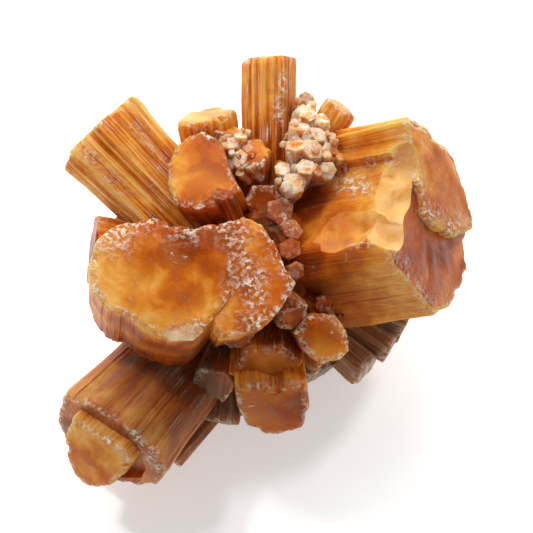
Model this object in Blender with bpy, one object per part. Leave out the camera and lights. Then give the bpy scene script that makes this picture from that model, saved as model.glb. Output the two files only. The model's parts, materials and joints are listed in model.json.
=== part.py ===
"""A free-standing cluster of aragonite: stout six-sided prisms that grew outwards from one heart.

Metres, +Z up. The origin is the middle of the footprint of the whole cluster, on the surface it lies on.
The front of the cluster faces -Y. Crystals that grow into each other are one solid.
"""

import math
import random

import bmesh
import bpy
from mathutils import Matrix, Vector, noise

MM = 0.001

# Driving dimensions, in millimetres
HEART = Vector((-0.96, 0.58, 15.5))
CORE_RADIUS = 8.0
CORE_ROUGHNESS = 1.6
CORE_SEED = 4
STRIP_WIDTH = 1.5
RELIEF = 0.2
GROOVE_WIDTH = 0.9
GROOVE_DEPTH = 0.5
BRUISE = 0.3
ROOT_SCALE = 0.8
SMALL_ROOT_SCALE = 0.6

# The sections that are not plain six-sided ones, corner by corner in millimetres, as seen from outside
# with the crystal pointing at the eye
LEFT_PLATE = [
    (-5.6, 4.1), (-6.1, 2.2), (-5.8, 0.1), (-4.4, -1.3), (-3.6, -3.2), (-1.9, -5.3), (0.2, -6.3),
    (2.7, -5.6), (5.3, -4.4), (7.8, -1.2), (8.6, 2.1), (7.2, 3.1), (5.5, 3.3), (2.6, 6.1), (0.0, 6.8),
    (-1.6, 7.1), (-3.3, 6.7), (-4.7, 5.5),
]
RIGHT_PLATE = [
    (-4.2, -0.3), (-6.0, -2.4), (-5.6, -4.2), (-3.6, -4.6), (-1.2, -4.5), (0.5, -3.6), (1.8, -2.7),
    (3.3, -1.4), (2.9, 0.4), (2.8, 2.9), (2.2, 5.2), (0.6, 6.5), (-1.8, 6.6),
]
BLOCK = [
    (3.3, 7.1), (-1.5, 8.2), (-5.8, 9.0), (-7.5, 6.1), (-8.4, 1.9), (-9.0, -2.9), (-7.1, -5.7),
    (-4.1, -7.7), (-1.7, -8.9), (-0.3, -7.7), (1.0, -7.1), (2.6, -8.2), (5.0, -7.5), (6.9, -5.5),
    (8.9, -3.3), (9.3, 0.1), (9.3, 3.8), (9.0, 7.0),
]
BLOCK_CREST = [
    (4.6, 6.5), (2.1, 4.5), (-0.3, 3.1), (-0.7, 0.2), (-0.2, -3.5), (2.1, -7.1), (4.3, -5.9),
    (6.0, -3.7), (8.0, -1.6), (8.4, 1.9), (8.4, 5.5), (7.9, 8.3),
]
FAN = [(5.3, -1.0), (4.7, 3.0), (0.4, 4.2), (-4.4, 3.2), (-5.3, -1.0), (-3.0, -4.0), (3.0, -4.0)]
BARREL = [
    (-6.9, 0.1), (-6.7, -2.7), (-5.2, -5.6), (-3.6, -7.2), (-1.8, -7.6), (1.0, -6.9), (4.0, -4.4),
    (6.1, -2.1), (6.6, 1.2), (5.3, 3.6), (3.5, 4.5), (1.3, 5.1), (-0.7, 4.6), (-2.8, 4.4),
    (-4.8, 3.5), (-6.6, 2.3),
]
BARREL_BLOCK = [
    (-4.1, -0.3), (-3.2, -3.0), (-1.8, -5.2), (0.3, -5.2), (2.4, -2.9), (3.4, -0.2), (3.7, 2.3),
    (2.2, 3.2), (0.1, 3.0), (-1.9, 2.8), (-4.0, 2.6),
]
TONGUE = [
    (-3.5, 0.3), (-2.6, -2.6), (-0.5, -4.2), (1.6, -4.4), (3.3, -3.0), (3.9, -0.1), (3.7, 3.6),
    (2.0, 3.9), (0.4, 2.9), (-1.4, 3.9), (-3.6, 3.7),
]
SMALL_PLATE = [
    (-2.1, -0.3), (-1.1, -2.3), (0.9, -2.9), (2.2, -2.4), (2.8, -0.6), (2.3, 1.4), (0.5, 2.5),
    (-1.0, 2.5), (-2.4, 1.6),
]
MID_PLATE = [
    (1.2, -3.7), (3.5, -2.9), (4.2, -0.9), (4.0, 1.9), (2.9, 3.7), (-0.3, 2.6), (-3.0, 2.1),
    (-4.7, 0.2), (-3.8, -2.3), (-1.4, -3.6),
]


def six_sided(width, thickness, skew=0.0):
    """Corners of the usual section, a six-sided outline that is a little lopsided."""
    w, t = width / 2, thickness / 2
    return [
        (w, t * skew), (w * 0.5, t), (-w * 0.55, t * 0.95),
        (-w, -t * skew), (-w * 0.45, -t), (w * 0.55, -t * 0.95),
    ]


# One entry for each crystal that shows from the front and above. "end" is the middle of its end face,
# in millimetres from the heart: right, back, up. "heading" is its way out in plan, in degrees from +X
# towards +Y, and "tilt" its slope above level. "spin" turns its section about its own axis, "root" is
# how wide it starts beside its end, and "step" is a raised (+) or sunk (-) plate on its end.
LEADING_CRYSTALS = {
    "left_plate": dict(end=(-9.3, -7.4, 13.2), heading=300, tilt=80, length=14, root=1.0,
                       corners=LEFT_PLATE),
    "right_plate": dict(end=(0.3, -6.6, 11.9), heading=290, tilt=76, length=14, root=0.9,
                        corners=RIGHT_PLATE, step=0.3),
    "block": dict(end=(18.1, 2.3, 5.2), heading=355, tilt=33, length=17, root=1.0, corners=BLOCK),
    "block_crest": dict(end=(18.9, 2.2, 5.7), heading=355, tilt=33, length=13, root=0.95,
                        corners=BLOCK_CREST),
    "fan": dict(end=(-16.3, 12.1, 6.6), heading=136, tilt=14, length=17, corners=FAN, step=0.3),
    "post": dict(end=(1.3, 20.3, 7.6), heading=90, tilt=20, length=18, root=0.9,
                 corners=six_sided(5.9, 5.4, 0.2), step=-0.2),
    "post_foot": dict(end=(-0.4, 8.6, 8.9), heading=90, tilt=74, length=9,
                      corners=six_sided(3.8, 4.2, 0.2)),
    "back_stub": dict(end=(-5.2, 13.9, 7.0), heading=98, tilt=42, length=13,
                      corners=six_sided(6.4, 4.8, 0.1), step=-0.25),
    "back_stub_side": dict(end=(-3.1, 12.2, 7.2), heading=70, tilt=50, length=10,
                           corners=six_sided(3.6, 3.0, 0.1)),
    "mid_plate": dict(end=(-5.5, 5.7, 10.9), heading=185, tilt=78, length=12, root=0.95,
                      corners=MID_PLATE),
    "dark_nub": dict(end=(5.4, 16.3, 6.2), heading=70, tilt=40, length=9,
                     corners=six_sided(1.9, 1.8, 0.2)),
    "ribbed_nub": dict(end=(8.9, 15.0, 6.8), heading=52, tilt=34, length=9,
                       corners=six_sided(3.8, 3.2, 0.2), step=-0.2),
    "dark_prism": dict(end=(0.7, 3.6, 8.2), heading=270, tilt=74, length=8,
                       corners=six_sided(4.2, 3.2, 0.2), step=-0.3),
    "barrel": dict(end=(-15.1, -18.4, -4.2), heading=235, tilt=18, length=18, root=0.8,
                   corners=BARREL, step=-1.0),
    "barrel_block": dict(end=(-16.4, -20.0, -3.5), heading=235, tilt=26, length=9, root=0.95,
                         corners=BARREL_BLOCK),
    "tongue": dict(end=(1.5, -15.8, -1.0), heading=272, tilt=20, length=15, corners=TONGUE, step=0.25),
    "tongue_back": dict(end=(0.9, -12.4, 1.6), heading=268, tilt=26, length=12, root=1.0,
                        corners=six_sided(7.4, 5.6, 0.25)),
    "small_plate": dict(end=(6.5, -10.0, 4.6), heading=295, tilt=62, length=10,
                        corners=SMALL_PLATE, step=-0.15),
    "front_nub": dict(end=(6.8, -6.6, 5.2), heading=282, tilt=62, length=7,
                      corners=six_sided(1.9, 1.5, 0.2)),
    "grey_prism": dict(end=(11.8, -9.3, -7.6), heading=317, tilt=2, length=12,
                       corners=six_sided(4.4, 4.4, 0.2)),
    "grey_slab": dict(end=(14.4, -7.2, -7.0), heading=326, tilt=-6, length=12,
                      corners=six_sided(3.2, 4.0, 0.3)),
    "under_block": dict(end=(16.2, -4.0, -6.6), heading=338, tilt=-12, length=13,
                        corners=six_sided(5.4, 5.0, 0.2)),
    "thin_dark": dict(end=(-8.9, -18.6, -10.4), heading=229, tilt=-6, length=15,
                      corners=six_sided(2.2, 2.6, 0.3)),
    "dark_mid": dict(end=(-4.1, -14.6, -9.4), heading=262, tilt=-14, length=12,
                     corners=six_sided(4.6, 4.0, 0.2)),
    "dark_mid_low": dict(end=(-0.6, -13.8, -9.0), heading=274, tilt=-16, length=11,
                         corners=six_sided(3.6, 3.6, 0.2)),
    "dark_rough": dict(end=(-4.6, -12.6, -3.0), heading=256, tilt=18, length=10,
                       corners=six_sided(5.0, 5.4, 0.3), step=-0.4),
    "dark_right_low": dict(end=(6.6, -9.8, -7.8), heading=300, tilt=-10, length=10,
                           corners=six_sided(5.0, 4.0, 0.2)),
    "left_stub": dict(end=(-17.0, 0.9, 3.0), heading=176, tilt=14, length=13,
                      corners=six_sided(7.0, 6.4, 0.2), step=-0.3),
    "left_spike": dict(end=(-17.6, -1.6, 0.6), heading=186, tilt=10, length=10,
                       corners=six_sided(2.0, 2.0, 0.2)),
}

# The pale crust of little crystals in the hollow behind the plates: end, heading, tilt and width
PALE_CRUST = [
    ((5.0, 13.4, 8.4), 60, 60, 2.4),
    ((6.9, 12.6, 8.2), 40, 56, 2.0),
    ((4.4, 11.2, 9.8), 80, 66, 2.6),
    ((6.4, 10.6, 9.2), 55, 70, 2.2),
    ((4.0, 8.8, 10.4), 100, 80, 2.4),
    ((5.8, 8.4, 10.2), 20, 76, 2.6),
    ((7.6, 8.8, 8.8), 350, 64, 2.2),
    ((7.2, 6.4, 9.2), 330, 70, 2.0),
    ((5.0, 6.2, 10.6), 300, 84, 2.2),
    ((3.8, 4.4, 10.4), 300, 78, 2.8),
    ((2.6, 6.4, 9.8), 200, 76, 1.8),
    ((-1.8, 7.8, 9.2), 150, 72, 2.0),
    ((-2.8, 9.8, 8.8), 120, 66, 2.2),
    ((-1.6, 10.6, 8.8), 70, 70, 1.6),
]

# Bites with a shell-like break: middle in millimetres from the heart, radius, and the way it is flattened
CHIPS = {
    "block_corner": dict(middle=(14.8, 3.9, 14.9), radius=5.6, flat=(0.9, 1.1, 1.0)),
    "plate_rim": dict(middle=(-6.4, -14.6, 13.6), radius=4.0, flat=(1.3, 0.85, 0.85)),
}

# The sides that the photograph does not show: crystals of the same habit, spread evenly over the
# underside and the back, each with its reach, width and a seed of its own
UNDERSIDE_CRYSTALS = {
    "foot_middle": dict(end=(0.5, 0.5, -15.9), heading=300, tilt=-86, length=14,
                        corners=six_sided(9.0, 8.0, 0.2)),
    "foot_left": dict(end=(-9.8, 1.2, -13.8), heading=176, tilt=-50, length=14,
                      corners=six_sided(7.2, 6.4, 0.2), step=-0.3),
    "foot_right": dict(end=(9.6, 4.4, -13.8), heading=22, tilt=-48, length=14,
                       corners=six_sided(7.0, 6.6, 0.2), step=-0.3),
    "foot_back": dict(end=(-2.6, 10.4, -13.8), heading=100, tilt=-50, length=14,
                      corners=six_sided(7.6, 6.2, 0.2), step=0.3),
    "foot_front": dict(end=(1.6, -8.6, -14.0), heading=278, tilt=-52, length=13,
                       corners=six_sided(6.4, 5.8, 0.2)),
    "block_back": dict(end=(13.2, 10.4, 2.0), heading=38, tilt=20, length=14,
                       corners=six_sided(8.0, 7.0, 0.2), step=0.3),
    "back_low": dict(end=(2.0, 16.4, -3.0), heading=84, tilt=-8, length=14,
                     corners=six_sided(7.4, 6.8, 0.2), step=-0.4),
    "back_left_low": dict(end=(-11.4, 12.6, -4.2), heading=132, tilt=-12, length=14,
                          corners=six_sided(6.6, 6.0, 0.2), step=0.25),
    "left_low": dict(end=(-15.2, 4.4, -4.4), heading=165, tilt=-14, length=14,
                     corners=six_sided(6.6, 5.6, 0.2), step=-0.3),
    "back_right_low": dict(end=(9.6, 13.6, -4.2), heading=56, tilt=-12, length=14,
                           corners=six_sided(7.2, 6.6, 0.2), step=-0.4),
    "right_low": dict(end=(15.2, 2.6, -7.4), heading=8, tilt=-22, length=13,
                      corners=six_sided(6.0, 5.4, 0.2), step=0.25),
    "left_front_low": dict(end=(-13.4, -5.6, -6.6), heading=204, tilt=-18, length=13,
                           corners=six_sided(6.0, 5.6, 0.2)),
}
FILLER_COUNT = 46
FILLER_REACH = (10.5, 13.0)
FILLER_WIDTH = (2.2, 4.2)
FILLER_SEED = 11
FILLERS_LEFT_OUT = {0, 3, 5, 8, 13, 16}  # larger crystals fill these places


def clear_scene():
    for old in list(bpy.data.objects):
        bpy.data.objects.remove(old)


def new_collection(name):
    made = bpy.data.collections.new(name)
    bpy.context.scene.collection.children.link(made)
    return made


def honey_material():
    """Cloudy orange-brown crystal with a waxy shine."""
    made = bpy.data.materials.new("honey aragonite")
    made.use_nodes = True
    shader = made.node_tree.nodes["Principled BSDF"]
    shader.inputs["Base Color"].default_value = (0.50, 0.19, 0.045, 1.0)
    shader.inputs["Roughness"].default_value = 0.35
    shader.inputs["Metallic"].default_value = 0.0
    return made


def direction(heading, tilt):
    """The unit vector at this heading in plan and this slope above level, both in degrees."""
    h, t = math.radians(heading), math.radians(tilt)
    return Vector((math.cos(t) * math.cos(h), math.cos(t) * math.sin(h), math.sin(t)))


def standing(end, heading, tilt, spin):
    """The matrix that puts a crystal's end face in place, with its own Z along the axis and out."""
    out = direction(heading, tilt)
    h = math.radians(heading)
    side = Vector((-math.sin(h), math.cos(h), 0.0))
    rise = out.cross(side)
    turned = Matrix((side, rise, out)).transposed().to_4x4()
    place = Matrix.Translation((HEART + Vector(end)) * MM)
    return place @ turned @ Matrix.Rotation(math.radians(spin), 4, "Z")


def ribbed_outline(corners, rng):
    """The section in millimetres: each side is split in strips that stand a little in or out, which makes
    the ribs along the prism, and some long sides have the groove between two twins."""
    points = []
    for start, stop in zip(corners, corners[1:] + corners[:1]):
        a, b = Vector(start), Vector(stop)
        along = (b - a).normalized()
        inward = Vector((-along.y, along.x))
        length = (b - a).length
        strips = int(length / STRIP_WIDTH)
        offsets = [
            (length * (k + rng.uniform(-0.25, 0.25)) / strips, rng.uniform(-RELIEF, RELIEF))
            for k in range(1, strips)
        ]
        groove_at = rng.uniform(0.35, 0.65) * length
        if length > 4 * GROOVE_WIDTH and rng.random() < 0.5:
            offsets = [pair for pair in offsets if abs(pair[0] - groove_at) > GROOVE_WIDTH]
            half = GROOVE_WIDTH / 2
            offsets += [(groove_at - half, 0.0), (groove_at, GROOVE_DEPTH), (groove_at + half, 0.0)]
        points.append(a)
        points += [a + along * at + inward * deep for at, deep in sorted(offsets)]
    return points


def sees_whole(outline, point):
    """Whether all of the outline shows from this point inside it, so that it can shrink towards it."""
    return all((a - point).cross(b - point) > 0.15 for a, b in zip(outline, outline[1:] + outline[:1]))


def terrace_centre(outline, middle, rng):
    """A point off the middle, towards one corner, which the plate on the end shrinks towards."""
    corner = rng.choice(outline)
    for share in (0.7, 0.5, 0.3, 0.0):
        if sees_whole(outline, middle.lerp(corner, share)):
            return middle.lerp(corner, share)
    return None


def prism_mesh(name, corners, length, root, step, rng):
    """One crystal with its end face at z = 0 and its root at -length, in metres."""
    outline = ribbed_outline(corners, rng)
    bm = bmesh.new()
    made = bmesh.ops.create_circle(bm, cap_ends=True, segments=len(outline), radius=MM)
    for vertex, point in zip(made["verts"], outline):
        vertex.co = Vector((point.x, point.y, 0.0)) * MM
    middle = sum(outline, Vector((0.0, 0.0))) / len(outline)
    off_middle = terrace_centre(outline, middle, rng)
    middle = middle.to_3d() * MM
    width = max(point.length for point in outline)
    bmesh.ops.translate(bm, verts=bm.verts[:], vec=-Vector((0, 0, length * MM)))
    at_root = Matrix.Translation(middle - Vector((0, 0, length * MM)))
    bmesh.ops.transform(bm, matrix=at_root @ Matrix.Scale(root, 4) @ at_root.inverted(), verts=bm.verts[:])

    ledge = rng.uniform(0.45, 0.7)
    swell = rng.uniform(0.98, 1.02)
    rings = [(ledge, (root + (1 - root) * ledge) * swell, middle)]
    if width > 3.0:
        rings += [(1 - BRUISE / length, 1.0, middle), (1.0, 1.0 - BRUISE / width, middle)]
    else:
        rings.append((1.0, 1.0, middle))
    if step and off_middle:
        terrace = off_middle.to_3d() * MM
        rings += [(1.0, 0.74, terrace), (1.0 + step / length, 0.71, terrace)]
    grown = bmesh.ops.extrude_face_region(bm, geom=bm.faces[:])["geom"]
    top = next(g for g in grown if isinstance(g, bmesh.types.BMFace))
    scale_now, height_now = root, 0.0
    for nth, (share, scale, about) in enumerate(rings):
        if nth:
            top = bmesh.ops.extrude_discrete_faces(bm, faces=[top])["faces"][0]
        lift = Vector((0, 0, (share - height_now) * length * MM))
        bmesh.ops.translate(bm, verts=top.verts[:], vec=lift)
        at = Matrix.Translation(about)
        change = at @ Matrix.Diagonal((scale / scale_now, scale / scale_now, 1, 1)) @ at.inverted()
        bmesh.ops.transform(bm, matrix=change, verts=top.verts[:])
        scale_now, height_now = scale, share
    bmesh.ops.recalc_face_normals(bm, faces=bm.faces[:])
    mesh = bpy.data.meshes.new(name)
    bm.to_mesh(mesh)
    bm.free()
    return mesh


def add_crystal(name, collection, end, heading, tilt, length, corners, spin=0.0, step=0.0,
                root=ROOT_SCALE):
    """A crystal as a hidden shape, which the heart is then joined with."""
    mesh = prism_mesh(name, corners, length, root, step, random.Random(name))
    mesh.transform(standing(end, heading, tilt, spin))
    made = bpy.data.objects.new(name, mesh)
    made.display_type = "WIRE"
    made.hide_render = True
    collection.objects.link(made)
    return made


def fill_with_small_crystals(collection):
    """Short crystals at even spacing over the whole heart, which fill the gaps between the large ones."""
    rng = random.Random(FILLER_SEED)
    golden_angle = 180 * (3 - math.sqrt(5))
    for i in range(FILLER_COUNT):
        height = 1 - 2 * (i + 0.5) / FILLER_COUNT
        tilt = math.degrees(math.asin(height)) + rng.uniform(-6, 6)
        heading = (i * golden_angle + rng.uniform(-8, 8)) % 360
        reach = rng.uniform(*FILLER_REACH)
        width = rng.uniform(*FILLER_WIDTH)
        end = direction(heading, tilt) * reach
        corners = six_sided(width, width * rng.uniform(0.75, 1.0), rng.uniform(0.0, 0.4))
        spin = rng.uniform(0, 60)
        if i not in FILLERS_LEFT_OUT:
            add_crystal(f"filler_{i:02d}", collection, end, heading, tilt, reach - 2, corners,
                        spin=spin, root=SMALL_ROOT_SCALE)


def heart_object(collection, material):
    """The lumpy middle that everything grew from."""
    bm = bmesh.new()
    bmesh.ops.create_icosphere(bm, subdivisions=2, radius=CORE_RADIUS * MM)
    for vertex in bm.verts:
        bump = noise.noise(vertex.co * 300 + Vector((CORE_SEED, 0, 0)))
        vertex.co += vertex.co.normalized() * bump * CORE_ROUGHNESS * MM
        vertex.co += HEART * MM
    mesh = bpy.data.meshes.new("aragonite_cluster")
    bm.to_mesh(mesh)
    bm.free()
    mesh.materials.append(material)
    made = bpy.data.objects.new("aragonite_cluster", mesh)
    collection.objects.link(made)
    return made


def add_boolean(target, operation, name, collection=None, cutter=None):
    joined = target.modifiers.new(name, "BOOLEAN")
    joined.operation = operation
    joined.solver = "EXACT"
    if collection:
        joined.operand_type = "COLLECTION"
        joined.collection = collection
    else:
        joined.object = cutter
    return joined


def hidden_cutter(name, collection, bm):
    mesh = bpy.data.meshes.new(name)
    bm.to_mesh(mesh)
    bm.free()
    made = bpy.data.objects.new(name, mesh)
    made.display_type = "WIRE"
    made.hide_render = True
    collection.objects.link(made)
    return made


def resting_cutter(collection):
    """A slab under the surface at z = 0, which takes the tips that wore flat where the cluster lies."""
    size = 80.0
    bm = bmesh.new()
    bmesh.ops.create_cube(bm, size=size * MM)
    bmesh.ops.translate(bm, verts=bm.verts[:], vec=Vector((0, 0, -size / 2)) * MM)
    return hidden_cutter("resting_surface", collection, bm)


def chip_cutter(name, collection, middle, radius, flat):
    """A coarse egg that bites a shell-like chip out of an edge."""
    bm = bmesh.new()
    bmesh.ops.create_icosphere(bm, subdivisions=2, radius=radius * MM)
    bmesh.ops.scale(bm, verts=bm.verts[:], vec=Vector(flat))
    bmesh.ops.translate(bm, verts=bm.verts[:], vec=(HEART + Vector(middle)) * MM)
    return hidden_cutter(name, collection, bm)


def main():
    clear_scene()
    parts = new_collection("aragonite cluster")
    crystals = new_collection("crystals to join")
    cutters = new_collection("cutters")
    for name, entry in {**LEADING_CRYSTALS, **UNDERSIDE_CRYSTALS}.items():
        add_crystal(name, crystals, **entry)
    for i, (end, heading, tilt, width) in enumerate(PALE_CRUST):
        add_crystal(f"crust_{i:02d}", crystals, end, heading, tilt, 8.0, six_sided(width, width * 0.85, 0.2),
                    spin=17 * i, root=SMALL_ROOT_SCALE)
    fill_with_small_crystals(crystals)
    cluster = heart_object(parts, honey_material())
    add_boolean(cluster, "UNION", "grown together", collection=crystals)
    for name, entry in CHIPS.items():
        add_boolean(cluster, "DIFFERENCE", name, cutter=chip_cutter(name, cutters, **entry))
    add_boolean(cluster, "DIFFERENCE", "worn where it rests", cutter=resting_cutter(cutters))


main()
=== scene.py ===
import json
import math
import random

import bmesh
import bpy
from mathutils import Matrix, Vector, noise

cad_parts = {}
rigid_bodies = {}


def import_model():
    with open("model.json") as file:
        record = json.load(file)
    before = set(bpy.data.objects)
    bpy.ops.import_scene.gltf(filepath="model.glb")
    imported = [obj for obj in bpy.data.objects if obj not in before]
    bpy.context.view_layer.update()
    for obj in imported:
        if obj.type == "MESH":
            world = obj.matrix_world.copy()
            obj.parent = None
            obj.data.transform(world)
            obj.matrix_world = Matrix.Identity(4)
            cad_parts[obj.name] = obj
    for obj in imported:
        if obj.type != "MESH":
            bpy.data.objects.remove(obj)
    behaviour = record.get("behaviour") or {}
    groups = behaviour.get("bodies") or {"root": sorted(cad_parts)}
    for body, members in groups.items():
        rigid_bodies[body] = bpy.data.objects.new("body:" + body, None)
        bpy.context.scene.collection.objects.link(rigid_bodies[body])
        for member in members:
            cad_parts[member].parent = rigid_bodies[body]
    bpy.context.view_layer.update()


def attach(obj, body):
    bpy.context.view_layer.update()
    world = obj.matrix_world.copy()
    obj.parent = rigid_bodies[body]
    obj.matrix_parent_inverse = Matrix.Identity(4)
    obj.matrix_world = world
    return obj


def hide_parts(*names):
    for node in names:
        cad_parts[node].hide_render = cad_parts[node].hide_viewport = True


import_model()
mm = 0.001

# Aragonite cluster: every length is in millimetres, and every place is from the heart, right, back and up
cluster = {
    "heart": Vector((-0.96, 0.58, 15.5)),
    "coreRadius": 8.0,
    "coreRoughness": 1.6,
    "coreLumps": 0.3,       # repeats to a millimetre
    "corePits": 1.4,
    "ribWidth": 0.55,       # of the ribs along a large prism
    "ribRelief": 0.08,
    "ribFlank": 0.12,       # share of a rib's width that its steep side takes
    "grooveShare": 0.5,     # of the wide sides, which have a groove
    "grooveWidth": 0.9,     # between two crystals that grew side by side
    "grooveDepth": 0.32,
    "ringSpacing": 1.7,     # between the rings of points along a prism
    "endRingSpacing": 0.8,  # and on an end face
    "thinBelow": 1.3,       # half a crystal's width, under which it is plain
    "rimWidth": 0.42,       # of the bruised band at an end, whose white is partly painted glint
    "rimWear": 0.55,        # how deep the rim is nicked
    "nickScale": 0.9,       # repeats to a millimetre
    "endRelief": 0.11,      # waves on an end face
    "endSlope": 0.07,       # how far an end may lean
    "thinEndSlope": 0.42,
    "unevenness": 0.16,     # of the prism sides
    "waveScale": 0.55,      # repeats to a millimetre, on sides and ends
    "rootScale": 0.8,
    "smallRootScale": 0.6,
    "creaseAngle": 24,      # degrees from which an edge is sharp
}


# Corners of the usual six-sided section, a little lopsided
def sixSided(width, thickness, skew=0.2):
    w, t = width / 2, thickness / 2
    return [
        (w, t * skew), (w * 0.5, t), (-w * 0.55, t * 0.95),
        (-w, -t * skew), (-w * 0.45, -t), (w * 0.55, -t * 0.95),
    ]


# Sections of the large crystals, seen from outside with the crystal pointing at the eye
leftPlate = [
    (-5.6, 4.1), (-6.1, 2.2), (-5.8, 0.1), (-4.4, -1.3), (-3.6, -3.2), (-1.9, -5.3), (0.2, -6.3),
    (2.7, -5.6), (5.3, -4.4), (7.8, -1.2), (8.6, 2.1), (7.2, 3.1), (5.5, 3.3), (2.6, 6.1), (0.0, 6.8),
    (-1.6, 7.1), (-3.3, 6.7), (-4.7, 5.5),
]
rightPlate = [
    (-4.2, -0.3), (-6.0, -2.4), (-5.6, -4.2), (-3.6, -4.6), (-1.2, -4.5), (0.5, -3.6), (1.8, -2.7),
    (3.3, -1.4), (2.9, 0.4), (2.8, 2.9), (2.2, 5.2), (0.6, 6.5), (-1.8, 6.6),
]
block = [
    (5.0, 7.5), (4.5, 6.7), (-5.4, 8.9), (-7.2, 6.9), (-9.0, -2.9), (-7.1, -5.7),
    (-4.1, -7.7), (-1.7, -8.9), (-0.3, -7.7), (1.0, -7.1), (2.6, -8.2), (5.0, -7.5), (6.9, -5.5),
    (8.9, -3.3), (9.3, 0.1), (9.3, 3.8), (9.0, 7.0),
]
blockCrest = [
    (4.6, 6.5), (2.1, 4.5), (-0.3, 3.1), (-0.7, 0.2), (-0.2, -3.5), (2.1, -7.1), (4.3, -5.9),
    (6.0, -3.7), (8.0, -1.6), (8.4, 1.9), (8.4, 5.5), (7.9, 8.3),
]
fan = [(5.3, -1.0), (4.7, 3.0), (0.4, 4.2), (-4.4, 3.2), (-5.3, -1.0), (-3.0, -4.0), (3.0, -4.0)]
barrel = [
    (-6.9, 0.1), (-6.7, -2.7), (-5.2, -5.6), (-3.6, -7.2), (-1.8, -7.6), (1.0, -6.9), (4.0, -4.4),
    (6.1, -2.1), (6.6, 1.2), (5.3, 3.6), (3.5, 4.5), (1.3, 5.1), (-0.7, 4.6), (-2.8, 4.4),
    (-4.8, 3.5), (-6.6, 2.3),
]
barrelBlock = [
    (-4.1, -0.3), (-3.2, -3.0), (-1.8, -5.2), (0.3, -5.2), (2.4, -2.9), (3.4, -0.2), (3.7, 2.3),
    (2.2, 3.2), (0.1, 3.0), (-1.9, 2.8), (-4.0, 2.6),
]
tongue = [
    (-3.5, 0.3), (-2.6, -2.6), (-0.5, -4.2), (1.6, -4.4), (3.3, -3.0), (3.9, -0.1), (3.7, 3.6),
    (2.0, 3.9), (0.4, 2.9), (-1.4, 3.9), (-3.6, 3.7),
]
smallPlate = [
    (-2.1, -0.3), (-1.1, -2.3), (0.9, -2.9), (2.2, -2.4), (2.8, -0.6), (2.3, 1.4), (0.5, 2.5),
    (-1.0, 2.5), (-2.4, 1.6),
]
midPlate = [
    (1.2, -3.7), (3.5, -2.9), (4.2, -0.9), (4.0, 1.9), (2.9, 3.7), (-0.3, 2.6), (-3.0, 2.1),
    (-4.7, 0.2), (-3.8, -2.3), (-1.4, -3.6),
]

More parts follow.
